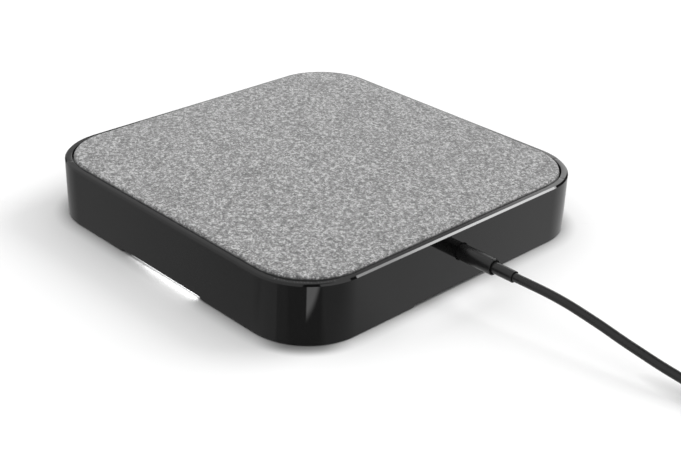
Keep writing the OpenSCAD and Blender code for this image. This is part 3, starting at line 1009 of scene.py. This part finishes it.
# Painted reflection: what the gloss case mirrors of the floor, shown as emission that only reflections see.
# Its brightness changes along lines: each is the way in which a wall that faces this many degrees round the
# front corner sends its reflection. "from" and "to" are mm across that line.
mirroredFloor = {
    "first": 0.39,
    "outOf": (-40, -30),    # a line begins this far behind the wall, mm
    "bands": [
        {"facing": 0, "from": -56, "to": 0, "level": 0.32},
        {"facing": 10, "from": -6, "to": 0, "level": 0.41},
        {"facing": 22.5, "from": -0.7, "to": 0.7, "level": 0.27},
        {"facing": 31, "from": -1, "to": 2, "level": 0.2},
        {"facing": 58, "from": -1, "to": 3, "level": 0.35},
        {"facing": 80, "from": -9, "to": 20, "level": 0.62},
        {"facing": 90, "from": 10, "to": 58, "level": 0.74},
    ],
    "wedge": {"left": (46.5, 1.2), "right": (66, 8), "start": (-61.2, -66.5), "level": 1.75},
}
# painted shade and painted light in the floor's colour: darker round the front corner and paler beside the
# wall that faces +X, in mm
floorPaintedShadeAndLight = {
    "corner": {"at": (55.5, -55.5), "near": (15, 4), "reach": (5.5, 1), "share": 0.5},
    "side": {"rise": (0, 2.5), "fall": (14, 5), "along": (-38, -12), "end": (12, 2), "share": 0.22},
}


def makeFloor():
    clearSelection()
    bpy.ops.mesh.primitive_plane_add(size=studio["floorSize"])
    floor = settle("floor")
    material, net = newMaterial("floor_white")
    spot = placeOn(net)
    x = net.add("ShaderNodeSeparateXYZ", None, {"Vector": spot}, "X")
    y = net.add("ShaderNodeSeparateXYZ", None, {"Vector": spot}, "Y")
    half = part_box("housing")[1].x
    radius = caseShape["cornerRadius"] * mm
    axis = half - radius

    def past(facing, *limits):
        wall = math.radians(facing)
        way = math.radians(2 * facing - cameraView["azimuth"])
        startX, startY = axis + radius * math.sin(wall), -axis - radius * math.cos(wall)
        across = (x - startX) * math.cos(way) + (y - startY) * math.sin(way)
        along = (x - startX) * math.sin(way) - (y - startY) * math.cos(way)
        return across.between(limits) * along.between(mirroredFloor["outOf"])

    level = mirroredFloor["first"]
    for band in mirroredFloor["bands"]:
        edge = past(band["facing"], band["from"], band["to"])
        level = level + (band["level"] - level) * edge
    wedge = mirroredFloor["wedge"]
    left, right = (past(facing, -soft / 2, soft / 2) for facing, soft in (wedge["left"], wedge["right"]))
    level = level + left * (1 - right) * y.between(wedge["start"]) * wedge["level"]
    reach, power = studio["contact"]
    # painted contact shadow: ambient occlusion darkens the floor's colour near what touches it
    openness = net.add("ShaderNodeAmbientOcclusion", {"samples": 16}, {"Distance": reach * mm}, "AO")
    shade = openness.power(power)

    def distance(toX, toY):
        return (toX * toX + toY * toY).power(0.5)

    # painted shade round the front corner and painted light beside the +X wall, in the floor's colour
    corner, side = floorPaintedShadeAndLight["corner"], floorPaintedShadeAndLight["side"]
    cornerX, cornerY = (value * mm for value in corner["at"])
    near = distance(x - cornerX, y - cornerY).between(corner["near"])
    near = near * (distance(x - axis, y + axis) - radius).between(corner["reach"])
    beside = (x - half).between(side["rise"]) * (x - half).between(side["fall"])
    beside = beside * y.between(side["along"]) * y.between(side["end"])
    # the floor's colour carries the painted contact shadow, the painted corner shade and the painted light
    # beside +X
    tone = shade * (1 - near * corner["share"]) * (1 + beside * side["share"]) * studio["floor"]
    shown = net.add("ShaderNodeBsdfDiffuse", None, {"Color": tone.mix((0, 0, 0, 1), (1, 1, 1, 1))})
    # painted reflection: reflections see the floor as this banded emission, with its bright wedge
    mirrored = net.add("ShaderNodeEmission", None, {"Color": (1, 1, 1, 1), "Strength": level})
    glossy = net.add("ShaderNodeLightPath", output="Is Glossy Ray")
    mixed = net.add("ShaderNodeMixShader", None, {0: glossy, 1: shown, 2: mirrored})
    net.add("ShaderNodeOutputMaterial", None, {"Surface": mixed})
    dress(floor, material)


# soft panels that only the reflections show: direction, brightness, cosine of the edge angle and its softness
mirroredSky = {"level": 0.06, "panels": [
    {"toward": (-0.66, 0.60, 0.45), "level": 0.45, "edge": 0.80, "soft": 0.15},
    {"toward": (-0.508, -0.609, 0.609), "level": 0.72, "edge": 0.617, "soft": 0.01},
    {"toward": (0.556, 0.187, 0.807), "level": 1.1, "edge": 0.95, "soft": 0.003},
    {"toward": (0.4325, 0.704, 0.563), "level": 6.0, "edge": 0.9918, "soft": 0.0006},
    {"toward": (0.4325, 0.704, 0.563), "level": 7.0, "edge": 0.9978, "soft": 0.0022},
    {"toward": (-0.70, 0.66, 0.28), "level": 1.7, "edge": 0.985, "soft": 0.006},
    {"toward": (-0.45, 0.85, 0.27), "level": 1.6, "edge": 0.975, "soft": 0.015},
]}


def makeSurroundings():
    world = bpy.data.worlds.new("surroundings")
    bpy.context.scene.world = world
    world.use_nodes = True
    world.node_tree.nodes.clear()
    net = Wire(world.node_tree)
    way = net.add("ShaderNodeTexCoord", output="Generated")
    level = mirroredSky["level"]
    for panel in mirroredSky["panels"]:
        toward = Vector(panel["toward"]).normalized()
        near = net.add("ShaderNodeVectorMath", {"operation": "DOT_PRODUCT"}, {0: way, 1: toward}, "Value")
        edge, soft = panel["edge"], panel["soft"]
        level = near.step(edge - soft, edge + soft) * panel["level"] + level
    paths = {name: net.add("ShaderNodeLightPath", output=name) for name in ("Is Camera Ray", "Is Glossy Ray")}
    strength = studio["fill"] + paths["Is Camera Ray"] * (1.0 - studio["fill"])
    strength = strength + paths["Is Glossy Ray"] * (level - studio["fill"])
    back = net.add("ShaderNodeBackground", None, {"Color": (1, 1, 1, 1), "Strength": strength})
    net.add("ShaderNodeOutputWorld", None, {"Surface": back})


def addLight(name, kind, toward, location=(0, 0, 0), **settings):
    light = bpy.data.objects.new(name, bpy.data.lights.new(name, kind))
    bpy.context.scene.collection.objects.link(light)
    for setting, value in settings.items():
        setattr(light.data, setting, value)
    light.location = location
    light.rotation_euler = Vector(toward).to_track_quat("Z", "Y").to_euler()
    light.visible_glossy = False
    light.visible_camera = False


# strips of light at the frosted guide's lip: distance in from the wall, height and width of the strip in mm,
# the way its back faces, and its brightness at the faint end and at the full end
glowStrips = [
    {"in": 0.35, "height": 0.75, "wide": 0.7, "back": (0, 1, 0), "levels": (2, 19)},
    {"in": 0.75, "height": 0.47, "wide": 0.8, "back": (0, 0, 1), "levels": (0.5, 2.5)},
]
glowReach = {"from": -15, "to": 17, "pieces": 8, "fullAt": 0.75}    # full brightness from this share on


def makeLights():
    addLight("key_light", "SUN", studio["keyDirection"], energy=studio["keyStrength"],
             angle=math.radians(studio["keyAngle"]))
    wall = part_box("housing")[0].y
    start, pieces = glowReach["from"] * mm, glowReach["pieces"]
    long = (glowReach["to"] - glowReach["from"]) / pieces * mm
    for strip in glowStrips:
        wide = strip["wide"] * mm
        faint, full = strip["levels"]
        for number in range(pieces):
            share = easeInOut(min(1, (number + 0.5) / pieces / glowReach["fullAt"]))
            power = (faint + (full - faint) * share) * math.pi * long * wide
            middle = (start + (number + 0.5) * long, wall + strip["in"] * mm, strip["height"] * mm)
            addLight(f"glow_{strip['height']}_{number}", "AREA", strip["back"], middle,
                     shape="RECTANGLE", size=long, size_y=wide, energy=power)


makeFloor()
makeSurroundings()
makeLights()
bpy.context.scene.view_settings.view_transform = "Standard"
print("floor and light made")
